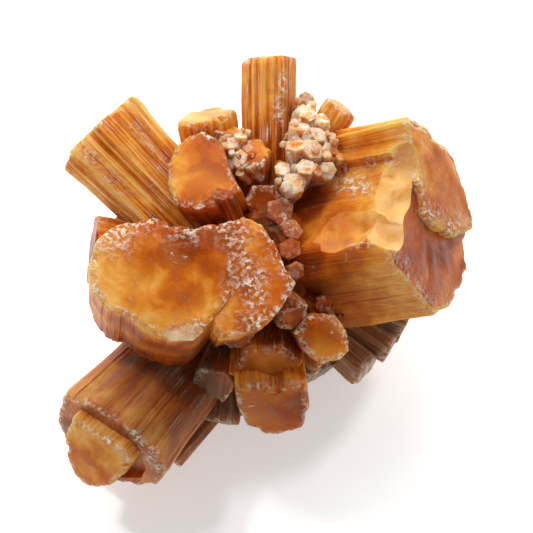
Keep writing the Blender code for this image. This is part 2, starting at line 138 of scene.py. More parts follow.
# Every crystal that has a place of its own. end: middle of the end face. heading: its way out in plan,
# degrees from +X towards +Y. tilt: slope above level. root: how wide it starts beside its end.
# step: a raised or sunk plate on the end. ribs: their width and depth beside the usual ones.
# tone: 0 yellow honey to 1 deep red-brown, and endTone the same for its end. smoke: grey-brown.
# pale: share of the pale crust's colour. silk: how strong the streaks along it are.
crystals = {
    "left_plate": dict(end=(-9.3, -7.4, 13.2), heading=300, tilt=80, length=14, root=1.0,
                       corners=leftPlate, tone=0.5, silk=0.3, endTone=0.43),
    "right_plate": dict(end=(0.3, -6.6, 11.9), heading=290, tilt=76, length=14, root=0.9,
                        corners=rightPlate, tone=0.4, silk=0.5, endTone=0.42),
    # The block's sides take a light tone and its end a deep one: partly the stone's colour, partly painted
    # light, the lit side lighter and the end darker as painted shade
    "block": dict(end=(18.1, 2.3, 5.2), heading=355, tilt=33, length=17, root=1.0,
                  corners=block, tone=0.27, silk=0.16, ribs=0.45, endTone=0.74),
    "block_crest": dict(end=(18.9, 2.2, 5.7), heading=355, tilt=33, length=13, root=0.95,
                        corners=blockCrest, tone=0.3, silk=0.5, endTone=0.5),
    "fan": dict(end=(-16.3, 12.1, 6.6), heading=136, tilt=14, length=17,
                corners=fan, tone=0.25, silk=1.7, ribs=3.0),
    "post": dict(end=(1.3, 20.3, 7.6), heading=90, tilt=20, length=18, root=0.9,
                 corners=sixSided(5.9, 5.4), tone=0.45, silk=1.5, ribs=2.0),
    "post_foot": dict(end=(-0.4, 8.6, 8.9), heading=90, tilt=74, length=9,
                      corners=sixSided(3.8, 4.2), tone=0.3),
    "back_stub": dict(end=(-5.2, 13.9, 7.0), heading=98, tilt=42, length=13,
                      corners=sixSided(6.4, 4.8, 0.1), tone=0.3, silk=1.3, ribs=1.5),
    "back_stub_side": dict(end=(-3.1, 12.2, 7.2), heading=70, tilt=50, length=10,
                           corners=sixSided(3.6, 3.0, 0.1), tone=0.3),
    "mid_plate": dict(end=(-5.5, 5.7, 10.9), heading=185, tilt=78, length=12, root=0.95,
                      corners=midPlate, tone=0.3, silk=0.6, endTone=0.38),
    "dark_nub": dict(end=(5.4, 16.3, 6.2), heading=70, tilt=40, length=9,
                     corners=sixSided(1.9, 1.8), tone=0.7, smoke=0.9),
    "ribbed_nub": dict(end=(8.9, 15.0, 6.8), heading=52, tilt=34, length=9,
                       corners=sixSided(3.8, 3.2), tone=0.1, silk=1.5, ribs=2.0),
    "dark_prism": dict(end=(0.7, 3.6, 8.2), heading=270, tilt=74, length=8,
                       corners=sixSided(4.2, 3.2), tone=0.4),
    "barrel": dict(end=(-15.1, -18.4, -4.2), heading=235, tilt=18, length=18, root=0.8,
                   corners=barrel, step=-1.0, tone=0.62, ribs=1.2, smoke=0.3, endTone=0.75),
    "barrel_block": dict(end=(-16.4, -20.0, -3.5), heading=235, tilt=26, length=9, root=0.95,
                         corners=barrelBlock, tone=0.35, endTone=0.38),
    "tongue": dict(end=(1.5, -15.8, -1.0), heading=272, tilt=20, length=15, corners=tongue,
                   tone=0.45, endTone=0.55),
    "tongue_back": dict(end=(0.9, -12.4, 1.6), heading=268, tilt=26, length=12, root=1.0,
                        corners=sixSided(7.4, 5.6, 0.25), tone=0.5),
    "small_plate": dict(end=(6.5, -10.0, 4.6), heading=295, tilt=62, length=10,
                        corners=smallPlate, tone=0.25),
    "front_nub": dict(end=(6.8, -6.6, 5.2), heading=282, tilt=62, length=7,
                      corners=sixSided(1.9, 1.5), tone=0.6),
    "grey_prism": dict(end=(11.8, -9.3, -7.6), heading=317, tilt=2, length=12,
                       corners=sixSided(4.4, 4.4), tone=0.5, smoke=1.0),
    "grey_slab": dict(end=(14.4, -7.2, -7.0), heading=326, tilt=-6, length=12,
                      corners=sixSided(3.2, 4.0, 0.3), tone=0.6, smoke=0.9),
    # under_block, thin_dark, dark_mid, dark_mid_low and dark_right_low, low under the front, take the
    # deepest red-brown: partly their own colour, partly painted shade under the cluster
    "under_block": dict(end=(16.2, -4.0, -6.6), heading=338, tilt=-12, length=13,
                        corners=sixSided(5.4, 5.0), tone=0.9, smoke=0.7),
    "thin_dark": dict(end=(-8.9, -18.6, -10.4), heading=229, tilt=-6, length=15,
                      corners=sixSided(2.2, 2.6, 0.3), tone=0.9, smoke=0.6),
    "dark_mid": dict(end=(-4.1, -14.6, -9.4), heading=262, tilt=-14, length=12,
                     corners=sixSided(4.6, 4.0), tone=1.0, smoke=0.6),
    "dark_mid_low": dict(end=(-0.6, -13.8, -9.0), heading=274, tilt=-16, length=11,
                         corners=sixSided(3.6, 3.6), tone=1.0, smoke=0.6),
    "dark_rough": dict(end=(-4.6, -12.6, -3.0), heading=256, tilt=18, length=10,
                       corners=sixSided(5.0, 5.4, 0.3), tone=0.7, smoke=0.3, endTone=1.0),
    "dark_right_low": dict(end=(6.6, -9.8, -7.8), heading=300, tilt=-10, length=10,
                           corners=sixSided(5.0, 4.0), tone=1.0, smoke=0.6),
    # The left stub's end takes a deeper tone than its sides: partly its own colour, partly painted shade on
    # a face that the lamps light
    "left_stub": dict(end=(-17.0, 0.9, 3.0), heading=176, tilt=14, length=13,
                      corners=sixSided(7.0, 6.4), tone=0.65, endTone=0.95),
    "left_spike": dict(end=(-17.6, -1.6, 0.6), heading=186, tilt=10, length=10,
                       corners=sixSided(2.0, 2.0), tone=0.3),
    # The pale share on the crevice crystals is partly painted highlight
    "crevice_top": dict(end=(2.4, 2.2, 8.8), heading=290, tilt=72, length=6, corners=sixSided(3.0, 2.6),
                        tone=0.3, pale=0.08),
    "crevice_edge": dict(end=(3.6, 0.4, 8.4), heading=320, tilt=66, length=6, corners=sixSided(2.0, 2.4),
                         tone=0.2, pale=0.15),
    "crevice_middle": dict(end=(3.4, -1.7, 8.0), heading=300, tilt=64, length=6, corners=sixSided(2.4, 2.0),
                           tone=0.25),
    "crevice_low": dict(end=(4.0, -3.8, 7.2), heading=300, tilt=60, length=6, corners=sixSided(2.0, 1.8),
                        tone=0.25, pale=0.1),
    # Underneath and behind
    "foot_middle": dict(end=(0.5, 0.5, -15.9), heading=300, tilt=-86, length=14, corners=sixSided(9.0, 8.0),
                        tone=0.6),
    "foot_left": dict(end=(-9.8, 1.2, -13.8), heading=176, tilt=-50, length=14,
                      corners=sixSided(7.2, 6.4), step=-0.3, tone=0.5),
    "foot_right": dict(end=(9.6, 4.4, -13.8), heading=22, tilt=-48, length=14,
                       corners=sixSided(7.0, 6.6), step=-0.3, tone=0.6),
    "foot_back": dict(end=(-2.6, 10.4, -13.8), heading=100, tilt=-50, length=14,
                      corners=sixSided(7.6, 6.2), step=0.3, tone=0.45),
    "foot_front": dict(end=(1.6, -8.6, -14.0), heading=278, tilt=-52, length=13,
                       corners=sixSided(6.4, 5.8), tone=0.7),
    "block_back": dict(end=(13.2, 10.4, 2.0), heading=38, tilt=20, length=14,
                       corners=sixSided(8.0, 7.0), step=0.3, tone=0.5),
    "back_low": dict(end=(2.0, 16.4, -3.0), heading=84, tilt=-8, length=14,
                     corners=sixSided(7.4, 6.8), step=-0.4, tone=0.4),
    "back_left_low": dict(end=(-11.4, 12.6, -4.2), heading=132, tilt=-12, length=14,
                          corners=sixSided(6.6, 6.0), step=0.25, tone=0.5),
    "left_low": dict(end=(-15.2, 4.4, -4.4), heading=165, tilt=-14, length=14,
                     corners=sixSided(6.6, 5.6), step=-0.3, tone=0.6),
    "back_right_low": dict(end=(9.6, 13.6, -4.2), heading=56, tilt=-12, length=14,
                           corners=sixSided(7.2, 6.6), step=-0.4, tone=0.45),
    "right_low": dict(end=(15.2, 2.6, -7.4), heading=8, tilt=-22, length=13,
                      corners=sixSided(6.0, 5.4), step=0.25, tone=0.6),
    "left_front_low": dict(end=(-13.4, -5.6, -6.6), heading=204, tilt=-18, length=13,
                           corners=sixSided(6.0, 5.6), tone=0.65),
}

# Pale crust of small crystals in the hollow behind the plates: end, heading, tilt and width of each, and
# the grains that sit on it
crust = {
    "crystals": [
        ((5.0, 13.4, 8.4), 60, 60, 2.4), ((6.9, 12.6, 8.2), 40, 56, 2.0), ((4.4, 11.2, 9.8), 80, 66, 2.6),
        ((6.4, 10.6, 9.2), 55, 70, 2.2), ((4.0, 8.8, 10.4), 100, 80, 2.4), ((5.8, 8.4, 10.2), 20, 76, 2.6),
        ((7.6, 8.8, 8.8), 350, 64, 2.2), ((7.2, 6.4, 9.2), 330, 70, 2.0), ((5.0, 6.2, 10.6), 300, 84, 2.2),
        ((3.8, 4.4, 10.4), 300, 78, 2.8), ((2.6, 6.4, 9.8), 200, 76, 1.8), ((-1.8, 7.8, 9.2), 150, 72, 2.0),
        ((-2.8, 9.8, 8.8), 120, 66, 2.2), ((-1.6, 10.6, 8.8), 70, 70, 1.6),
    ],
    "length": 8.0,
    "turn": 17,                 # degrees from one to the next, about its own axis
    "tone": 0.25,
    "pale": 0.68,
    "grainsEach": 6,
    "grainWidth": (0.5, 1.3),
    "grainLength": (2.0, 3.0),
    "grainSpread": 0.9,
    "grainHeight": (-0.6, 0.35),
    "grainAslant": (40, 16),    # degrees of heading and of tilt
    "steepest": 88,
    "grainRoot": 0.7,
    "grainTone": (0.2, 0.6),
    "grainPale": (0.3, 0.9),
    "seed": 5,
}

# Short crystals spread evenly over the heart, in the gaps between the others
fillers = {
    "count": 46,
    "reach": (10.5, 13.0),
    "width": (2.2, 4.2),
    "thickness": (0.75, 1.0),   # beside the width
    "skew": (0.0, 0.4),
    "aslant": (6, 8),           # degrees of tilt and of heading off the even spread
    "tone": 0.45,
    "toneRange": 0.2,
    "lowSmoke": 0.5,            # of every second one below the heart
    "seed": 11,
    "leftOut": {0, 2, 3, 5, 8, 13, 16},
}

# Bites with a shell-like break, each an egg that is squashed by flat; their faces are pale honey, partly a
# fresh break and partly painted highlight
chips = {
    "block_corner": dict(middle=(14.8, 3.9, 14.9), radius=5.6, flat=(0.9, 1.1, 1.0),
                         tone=0.02, pale=0.1),
    "block_corner_front": dict(middle=(14.6, -0.8, 13.6), radius=4.2, flat=(1.1, 0.8, 0.9),
                               tone=0.02, pale=0.15),
    "block_corner_back": dict(middle=(12.6, 6.6, 16.2), radius=3.8, flat=(1.4, 0.7, 0.9),
                              tone=0.02, pale=0.15),
    "block_flank": dict(middle=(6.3, 0.3, 14.2), radius=6.4, flat=(1.0, 0.74, 1.0),
                        tone=0.12, pale=0.05),
    "plate_rim": dict(middle=(-6.4, -14.6, 13.6), radius=4.0, flat=(1.3, 0.85, 0.85),
                      tone=0.02, pale=0.5),
}
chipRipple = {"broadScale": 0.45, "broadHeight": 0.7, "fineScale": 1.5, "fineHeight": 0.25}


def direction(heading, tilt):
    h, t = math.radians(heading), math.radians(tilt)
    return Vector((math.cos(t) * math.cos(h), math.cos(t) * math.sin(h), math.sin(t)))


# Puts a crystal's end face in place, with its own Z along the axis and out
def standing(end, heading, tilt, spin=0.0):
    out = direction(heading, tilt)
    h = math.radians(heading)
    side = Vector((-math.sin(h), math.cos(h), 0.0))
    turned = Matrix((side, out.cross(side), out)).transposed().to_4x4()
    place = Matrix.Translation(cluster["heart"] + Vector(end))
    return place @ turned @ Matrix.Rotation(math.radians(spin), 4, "Z")


# The section point by point: where it lies on the plain outline, which way is in, and how deep its rib is
def ribbedOutline(corners, ribWidth, relief, rng):
    points = []
    for start, stop in zip(corners, corners[1:] + corners[:1]):
        a, b = Vector(start), Vector(stop)
        along = (b - a).normalized()
        inward = Vector((-along.y, along.x))
        length = (b - a).length
        grooved = length > 4 * cluster["grooveWidth"] and rng.random() < cluster["grooveShare"]
        grooveAt = rng.uniform(0.35, 0.65) * length
        half = cluster["grooveWidth"] / 2
        points.append((a, inward, 0.0))
        at = ribWidth * rng.uniform(0.5, 1.2)
        deep = rng.uniform(-relief, relief)
        while at < length - ribWidth * 0.4:
            nextDeep = rng.uniform(-relief, relief)
            if not (grooved and abs(at - grooveAt) < half * 1.3):
                points.append((a + along * at, inward, deep))
                points.append((a + along * (at + ribWidth * cluster["ribFlank"]), inward, nextDeep))
            deep = nextDeep
            at += ribWidth * rng.uniform(0.5, 1.5)
        if grooved:
            for across, sunk in ((-half, 0.0), (0.0, cluster["grooveDepth"]), (half, 0.0)):
                points.append((a + along * (grooveAt + across), inward, sunk))
            points.sort(key=lambda point: (point[0] - a).dot(along) if point[1] == inward else -1.0)
    return points


# Whether all of the outline shows from this point, so that it can shrink towards it
def seesWhole(outline, point):
    return all((a - point).cross(b - point) > 0.02 for a, b in zip(outline, outline[1:] + outline[:1]))


# The point that the plate on an end shrinks towards: off the middle, on the way to one corner
def terraceCentre(outline, middle, rng):
    corner = rng.choice(outline)
    for share in (0.6, 0.45, 0.3, 0.15, 0.0):
        if seesWhole(outline, middle.lerp(corner, share)):
            return middle.lerp(corner, share)
    return middle


# The rings from root to end: height, scale, how far the ribs show, how bruised (a share that also paints
# white glints), and about which middle
def crystalRings(length, half, root, step, rng):
    if half < cluster["thinBelow"]:
        return [
            (-length, root, 1.0, 0.0, False), (-half, 1.0, 1.0, 0.0, False),
            (-half * 0.1, 0.99, 1.0, 0.25, False), (0.0, 0.9, 0.0, 0.25, False),
        ]
    rings = [(-length, root, 1.0, 0.0, False)]
    count = max(2, round((length - 1.5) / cluster["ringSpacing"]))
    for i in range(count - 1, 0, -1):
        height = -1.2 - (length - 1.2) * i / count * rng.uniform(0.96, 1.04)
        rings.append((height, root + (1 - root) * (1 + height / length), 1.0, 0.0, False))
    rim = min(cluster["rimWidth"], half * 0.2)
    rings.append((-1.1 if length > 4 else -0.6, 1.0, 1.0, 0.0, False))
    rings.append((-rim, 1.0, 1.0, 0.5, False))
    rings.append((-rim * 0.3, 1 - rim * 0.22 / half, 0.8, 1.0, False))
    rings.append((0.0, 1 - rim / half, 0.35, 0.8, False))
    rings.append((0.0, 1 - 2.2 * rim / half, 0.0, 0.0, False))
    if step:
        rings.append((0.0, 0.80, 0.0, 0.0, True))
        rings.append((step * 0.5, 0.775, 0.0, 0.35 if step > 0 else 0.0, True))
        rings.append((step, 0.755, 0.0, 0.1, True))
    count = max(3, round(half / cluster["endRingSpacing"]))
    start = 0.75 if step else 1 - 3.2 * rim / half
    for i in range(1, count):
        rings.append((step, start * (1 - i / count), 0.0, 0.0, True))
    return rings


# One crystal with its end face at z = 0 and its root below, with what its material reads on its faces
def crystalMesh(name, corners, length, root, step, tone, endTone, smoke, pale, silk, ribs, rng):
    half = sum(Vector(corner).length for corner in corners) / len(corners)
    thin = half < cluster["thinBelow"]
    slight = min(1.0, half / 3)     # small crystals are worn less deeply
    ribWidth = cluster["ribWidth"] * min(1.0, 0.35 + half / 8) * math.sqrt(ribs)
    relief = cluster["ribRelief"] * min(1.0, 0.2 + half / 6) * ribs
    outline = ribbedOutline(corners, ribWidth, relief, rng)
    plain = [point[0] for point in outline]
    middle = sum(plain, Vector((0.0, 0.0))) / len(plain)
    terrace = terraceCentre(plain, middle, rng)
    shift = Vector((rng.uniform(-50, 50), rng.uniform(-50, 50), rng.uniform(-50, 50)))

    bm = bmesh.new()
    place = bm.verts.layers.int.new("place")
    bruiseAndGlint = bm.verts.layers.float.new("bruiseAndGlint")
    endFace = bm.faces.layers.float.new("endFace")
    grain = bm.loops.layers.uv.new("grain")
    made = bmesh.ops.create_circle(bm, cap_ends=True, segments=len(outline), radius=1.0)
    for i, vertex in enumerate(made["verts"]):
        vertex[place] = i

    rings = crystalRings(length, half, root, step, rng)
    endFrom = next(i for i, ring in enumerate(rings) if ring[2] == 0.0)
    startScale = 1 - 2.2 * min(cluster["rimWidth"], half * 0.2) / half
    steepest = cluster["thinEndSlope" if thin else "endSlope"]
    slope = Vector((rng.uniform(-steepest, steepest), rng.uniform(-steepest, steepest)))
    top = bm.faces[:][0]
    for nth, (height, scale, ribShare, bruiseAndGlintShare, aboutTerrace) in enumerate(rings):
        if nth == 1:
            grown = bmesh.ops.extrude_face_region(bm, geom=[top])["geom"]
            top = next(g for g in grown if isinstance(g, bmesh.types.BMFace))
        elif nth > 1:
            top = bmesh.ops.extrude_discrete_faces(bm, faces=[top])["faces"][0]
        if nth >= endFrom:
            for vertex in top.verts:
                for face in vertex.link_faces:
                    face[endFace] = 1.0
        for vertex in top.verts:
            base, inward, deep = outline[vertex[place]]
            if aboutTerrace:
                inset = middle + (base - middle) * startScale
                point = terrace + (inset - terrace) * scale
            else:
                point = middle + (base - middle) * scale
            point = point + inward * deep * ribShare
            wave = noise.noise(Vector((point.x, point.y, height * 0.4)) * cluster["waveScale"] + shift)
            if ribShare:
                nickAt = Vector((point.x, point.y, height)) * cluster["nickScale"] + shift
                worn = cluster["rimWear"] * max(0.0, noise.noise(nickAt)) * bruiseAndGlintShare * slight
                point = point + inward * (worn + cluster["unevenness"] * wave * slight)
                lift = -worn + slope.dot(point) * (1.0 if height > -0.8 else 0.0)
            else:
                lift = cluster["endRelief"] * wave * min(1.0, half / 4) * (1 if nth > endFrom else 0.4)
                lift += slope.dot(point)
            vertex.co = Vector((point.x, point.y, height + lift))
            vertex[bruiseAndGlint] = bruiseAndGlintShare
    # The pattern along the prism follows its outline and its length, in millimetres, and on the end it lies
    # well apart from that
    around = [0.0]
    for a, b in zip(plain, plain[1:] + plain[:1]):
        around.append(around[-1] + (b - a).length)
    endPatternAt = 60
    for face in bm.faces:
        if face[endFace] or len(face.verts) > 4:
            for loop in face.loops:
                loop[grain].uv = (loop.vert.co.x + endPatternAt + shift.x, loop.vert.co.y)
        else:
            wraps = {loop.vert[place] for loop in face.loops} >= {0, len(plain) - 1}
            for loop in face.loops:
                nth = loop.vert[place]
                far = around[len(plain) if wraps and nth == 0 else nth]
                loop[grain].uv = (far + shift.x, loop.vert.co.z)
    for layerName, value in (("tone", tone), ("smoke", smoke), ("pale", pale), ("silk", silk)):
        layer = bm.faces.layers.float.new(layerName)
        for face in bm.faces:
            face[layer] = endTone if layerName == "tone" and face[endFace] else value
    bmesh.ops.recalc_face_normals(bm, faces=bm.faces[:])
    mesh = bpy.data.meshes.new(name)
    bm.to_mesh(mesh)
    bm.free()
    return mesh


def addCrystal(name, end, heading, tilt, length, corners, spin=0.0, step=0.0, root=None, tone=0.4,
               endTone=None, smoke=0.0, pale=0.0, silk=1.0, ribs=1.0):
    root = root or cluster["rootScale"]
    endTone = tone if endTone is None else endTone
    mesh = crystalMesh(name, corners, length, root, step, tone, endTone, smoke, pale, silk, ribs,
                       random.Random(name))
    mesh.transform(standing(end, heading, tilt, spin))
    grownTogether.objects.link(bpy.data.objects.new(name, mesh))


# Places where the stone is bruised white and white glints are painted: a crystal, two points of it, and how
# far around the line between
frostAndGlints = [
    ("block", (-5.4, 8.9, 0), (-9.0, -2.9, 0), 1.3),
    ("block", (-5.0, 8.6, 0), (-2.0, 7.4, 0), 1.6),
    ("block", (4.6, 6.8, -1), (4.6, 6.8, -9), 0.9),
    ("block", (-5.4, 8.9, 0), (-5.4, 8.9, -4), 0.8),
    ("block", (1.0, 7.4, -4), (3.5, 7.0, -7), 1.4),
    ("block_crest", (-0.3, 3.1, 0), (-0.7, 0.2, 0), 1.3),
    ("block_crest", (-0.7, 0.2, 0), (2.1, -7.1, 0), 1.1),
    ("block_crest", (4.6, 6.5, 0), (2.1, 4.5, 0), 1.2),
    ("left_plate", (-4.0, 6.2, 0), (2.6, 6.1, 0), 1.3),
    ("left_plate", (2.6, 6.1, 0), (5.5, 3.3, 0), 1.2),
    ("left_plate", (8.2, 2.0, 0), (7.8, -1.2, 0), 1.0),
    ("left_plate", (7.8, -1.2, 0), (5.3, -4.4, 0), 1.1),
    ("left_plate", (2.7, -5.6, 0), (-1.9, -5.3, 0), 1.3),
    ("right_plate", (-1.5, -3.5, 0), (0.5, 4.5, 0), 1.8),
    ("right_plate", (3.3, -1.4, 0), (2.2, 5.2, 0), 1.3),
    ("barrel", (-6.9, 0.1, 0), (-6.6, 2.3, 0), 1.4),
    ("barrel", (1.3, 5.1, 0), (6.6, 1.2, 0), 0.9),
    ("post", (-2.0, 2.6, -3), (-1.0, 2.6, -6), 1.0),
    ("fan", (-2.0, 3.8, -2), (-2.0, 3.8, -6), 0.9),
    ("crevice_top", (-1.0, -1.0, 0), (1.0, -1.0, 0), 0.9),
    ("crevice_edge", (0.0, 0.0, 0), (0.8, 0.0, 0), 0.8),
    ("block", (-2.0, 7.5, 0), (4.0, 6.9, 0), 1.0),
    ("fan", (3.5, 3.4, -1), (3.5, 3.4, -7), 0.7),
]

print("Growing the crystals")
grownTogether = bpy.data.collections.new("grown together")
bpy.context.scene.collection.children.link(grownTogether)
for name, entry in crystals.items():
    addCrystal(name, **entry)

rng = random.Random(crust["seed"])
for i, (end, heading, tilt, width) in enumerate(crust["crystals"]):
    addCrystal(f"crust_{i}", end, heading, tilt, crust["length"], sixSided(width, width * 0.85),
               spin=crust["turn"] * i, root=cluster["smallRootScale"], tone=crust["tone"],
               pale=crust["pale"])
    for k in range(crust["grainsEach"]):
        grainWidth = rng.uniform(*crust["grainWidth"])
        aside = Vector((rng.gauss(0, crust["grainSpread"]), rng.gauss(0, crust["grainSpread"]),
                        rng.uniform(*crust["grainHeight"])))
        grainHeading = heading + rng.gauss(0, crust["grainAslant"][0])
        grainTilt = min(crust["steepest"], tilt + rng.gauss(0, crust["grainAslant"][1]))
        addCrystal(f"crust_{i}_{k}", Vector(end) + aside, grainHeading, grainTilt,
                   rng.uniform(*crust["grainLength"]), sixSided(grainWidth, grainWidth * 0.9),
                   spin=rng.uniform(0, 60), root=crust["grainRoot"],
                   tone=rng.uniform(*crust["grainTone"]), pale=rng.uniform(*crust["grainPale"]))

rng = random.Random(fillers["seed"])
goldenAngle = 180 * (3 - math.sqrt(5))
tiltAslant, headingAslant = fillers["aslant"]
for i in range(fillers["count"]):
    height = 1 - 2 * (i + 0.5) / fillers["count"]
    tilt = math.degrees(math.asin(height)) + rng.uniform(-tiltAslant, tiltAslant)
    heading = (i * goldenAngle + rng.uniform(-headingAslant, headingAslant)) % 360
    reach = rng.uniform(*fillers["reach"])
    width = rng.uniform(*fillers["width"])
    corners = sixSided(width, width * rng.uniform(*fillers["thickness"]), rng.uniform(*fillers["skew"]))
    spin = rng.uniform(0, 60)
    if i not in fillers["leftOut"]:
        smoke = 0.0 if height > 0 else fillers["lowSmoke"] * (i % 2)
        addCrystal(f"filler_{i}", direction(heading, tilt) * reach, heading, tilt, reach - 2, corners,
                   spin=spin, root=cluster["smallRootScale"],
                   tone=fillers["tone"] + fillers["toneRange"] * math.sin(i), smoke=smoke)

print("Joining them")


# What the material reads, on a shape that isn't a crystal
def emptyLayers(bm, **values):
    bm.verts.layers.float.new("bruiseAndGlint")
    bm.loops.layers.uv.new("grain")
    for layerName in ("endFace", "tone", "smoke", "pale", "silk"):
        layer = bm.faces.layers.float.new(layerName)
        for face in bm.faces:
            face[layer] = values.get(layerName, 0.0)


bm = bmesh.new()
bmesh.ops.create_icosphere(bm, subdivisions=4, radius=cluster["coreRadius"])
for vertex in bm.verts:
    lump = noise.noise(vertex.co * cluster["coreLumps"] + Vector((4, 0, 0)))
    bump = lump + 0.3 * noise.noise(vertex.co * cluster["corePits"])
    vertex.co += vertex.co.normalized() * bump * cluster["coreRoughness"] + cluster["heart"]
emptyLayers(bm, tone=0.5, endFace=1.0)
coreMesh = bpy.data.meshes.new("aragonite_crystals")
bm.to_mesh(coreMesh)
bm.free()
body = bpy.data.objects.new("aragonite_crystals", coreMesh)
bpy.context.scene.collection.objects.link(body)

cutters = []
for name, chip in chips.items():
    bm = bmesh.new()
    bmesh.ops.create_icosphere(bm, subdivisions=4, radius=chip["radius"])
    for vertex in bm.verts:
        broad = noise.noise(vertex.co * chipRipple["broadScale"]) * chipRipple["broadHeight"]
        fine = noise.noise(vertex.co * chipRipple["fineScale"]) * chipRipple["fineHeight"]
        vertex.co += vertex.co.normalized() * (broad + fine)
    bmesh.ops.scale(bm, verts=bm.verts[:], vec=Vector(chip["flat"]))
    bmesh.ops.translate(bm, verts=bm.verts[:], vec=cluster["heart"] + Vector(chip["middle"]))
    emptyLayers(bm, tone=chip["tone"], pale=chip["pale"], endFace=1.0)
    cutterMesh = bpy.data.meshes.new(name)
    bm.to_mesh(cutterMesh)
    bm.free()
    cutters.append(bpy.data.objects.new(name, cutterMesh))

# A slab under the surface that the cluster lies on, which takes the tips that wore flat there
slabSize = 80.0
bm = bmesh.new()
bmesh.ops.create_cube(bm, size=slabSize)
bmesh.ops.translate(bm, verts=bm.verts[:], vec=Vector((0, 0, -slabSize / 2)))
emptyLayers(bm, tone=0.5, smoke=0.3, pale=0.2, endFace=1.0)
slabMesh = bpy.data.meshes.new("resting surface")
bm.to_mesh(slabMesh)
bm.free()
cutters.append(bpy.data.objects.new("resting surface", slabMesh))
for cutter in cutters:
    bpy.context.scene.collection.objects.link(cutter)


def addBoolean(operation, collection=None, cutter=None):
    joined = body.modifiers.new(operation, "BOOLEAN")
    joined.operation = operation
    joined.solver = "MANIFOLD"
    if collection:
        joined.operand_type = "COLLECTION"
        joined.collection = collection
    else:
        joined.object = cutter


addBoolean("UNION", collection=grownTogether)
for cutter in cutters:
    addBoolean("DIFFERENCE", cutter=cutter)
joinedMesh = bpy.data.meshes.new_from_object(body.evaluated_get(bpy.context.evaluated_depsgraph_get()))
body.modifiers.clear()
joinedMesh.validate()
body.data = joinedMesh
for old in cutters + grownTogether.objects[:]:
    bpy.data.objects.remove(old)
bpy.data.collections.remove(grownTogether)

# The bruise share marked along these lines also paints white glints
print("Bruising the edges")
frostAndGlintLines = []
for name, start, stop, reach in frostAndGlints:
    entry = crystals[name]
    place = standing(entry["end"], entry["heading"], entry["tilt"])
    frostAndGlintLines.append((place @ Vector(start), place @ Vector(stop), reach))
frostAndGlintStrength = 1.5
bruiseAndGlint = joinedMesh.attributes["bruiseAndGlint"].data
for vertex in joinedMesh.vertices:
    for start, stop, reach in frostAndGlintLines:
        share = min(1.0, max(0.0, (vertex.co - start).dot(stop - start) / (stop - start).length_squared))
        gap = (vertex.co - start.lerp(stop, share)).length
        if gap < reach:
            bruiseAndGlintShare = frostAndGlintStrength * (1 - gap / reach)
            bruiseAndGlint[vertex.index].value = max(bruiseAndGlint[vertex.index].value, bruiseAndGlintShare)
joinedMesh.transform(Matrix.Scale(mm, 4))
joinedMesh.name = "aragonite_crystals"
joinedMesh.polygons.foreach_set("use_smooth", [True] * len(joinedMesh.polygons))
joinedMesh.set_sharp_from_angle(angle=math.radians(cluster["creaseAngle"]))
print("triangles", sum(len(p.vertices) - 2 for p in joinedMesh.polygons))

print("Materials")


# An sRGB colour such as "#d1701b", as the linear values that Blender's sockets take
def linear(hexColour):
    values = [int(hexColour[i:i + 2], 16) / 255 for i in (1, 3, 5)]
    return [v / 12.92 if v <= 0.04045 else ((v + 0.055) / 1.055) ** 2.4 for v in values] + [1.0]


# Adds one node: settings are its own properties, stops are a ramp's, and inputs are its sockets' values or
# what feeds them, under the socket's name or as i0, i1 by number
def addNode(tree, kind, settings=None, stops=None, **inputs):
    node = tree.nodes.new(kind)
    for key, value in (settings or {}).items():
        setattr(node, key, value)
    for i, (at, colour) in enumerate(stops or []):
        stop = node.color_ramp.elements[i] if i < 2 else node.color_ramp.elements.new(at)
        stop.position = at
        stop.color = linear(colour)
    for key, value in inputs.items():
        socket = node.inputs[int(key[1:])] if key[1:].isdigit() else node.inputs[key.replace("_", " ")]
        if isinstance(value, bpy.types.Node):
            tree.links.new(value.outputs[0], socket)
        elif isinstance(value, bpy.types.NodeSocket):
            tree.links.new(value, socket)
        else:
            socket.default_value = value
    return node


# Aragonite: honey yellow where thin, red-brown in depth, with streaks along each prism and pale threads
# that are partly painted highlight, milky veils, whitish bruised edges and specks of pale crust that also
# stand as painted glints, under a waxy gloss
look = {
    "veil": 0.15,               # patterns' repeats to a millimetre
    "patch": 0.42,
    "streak": (1.9, 0.045, 1.0),        # around a prism, and drawn out along it
    "fineStreak": (6.0, 0.16, 1.0),
    "stain": 0.8,
    "speck": 2.1,
    "crumb": 3.3,
    "veilStrength": 0.27,       # how much deeper or lighter each makes the colour
    "patchStrength": 0.2,
    "streakStrength": 0.22,
    "heartDepth": 0.28,
    "tipDepth": -0.13,
    "smokeShare": 0.8,
    "cloudColour": "#e09e5a",
    "cloudShare": 0.35,
    "threadAndHighlightColour": "#fbe6c0",
    "threadAndHighlightShare": 0.6,
    "crustColour": "#fbead6",
    "crustShare": 0.85,
    "sideRoughness": 0.4,
    "endRoughness": 0.32,
    "crustRoughness": 0.45,     # beside the stone's, because its facets glint
    "clearness": 0.18,
    "refraction": 1.6,
    "shine": 0.09,
    "shineColour": "#ffcb90",
    "glow": 0.65,
    "glowReach": 0.0032,        # metres that light travels in the stone
    "glowColours": (1.0, 0.55, 0.2),
    "ribHeight": 0.00022,       # metres, as the three below
    "speckHeight": 0.00012,
    "facetHeight": 0.0004,
    "veilHeight": 0.004,
}
material = bpy.data.materials.new("honey aragonite")
material.use_nodes = True
tree = material.node_tree
tree.nodes.clear()
place = addNode(tree, "ShaderNodeTexCoord").outputs["Object"]
at = addNode(tree, "ShaderNodeVectorMath", {"operation": "SCALE"}, i0=place, Scale=1 / mm)
along = addNode(tree, "ShaderNodeUVMap", {"uv_map": "grain"})
tone, smoke, pale, silk, endFace, bruiseAndGlint = [
    addNode(tree, "ShaderNodeAttribute", {"attribute_name": name}).outputs["Fac"]
    for name in ("tone", "smoke", "pale", "silk", "endFace", "bruiseAndGlint")
]
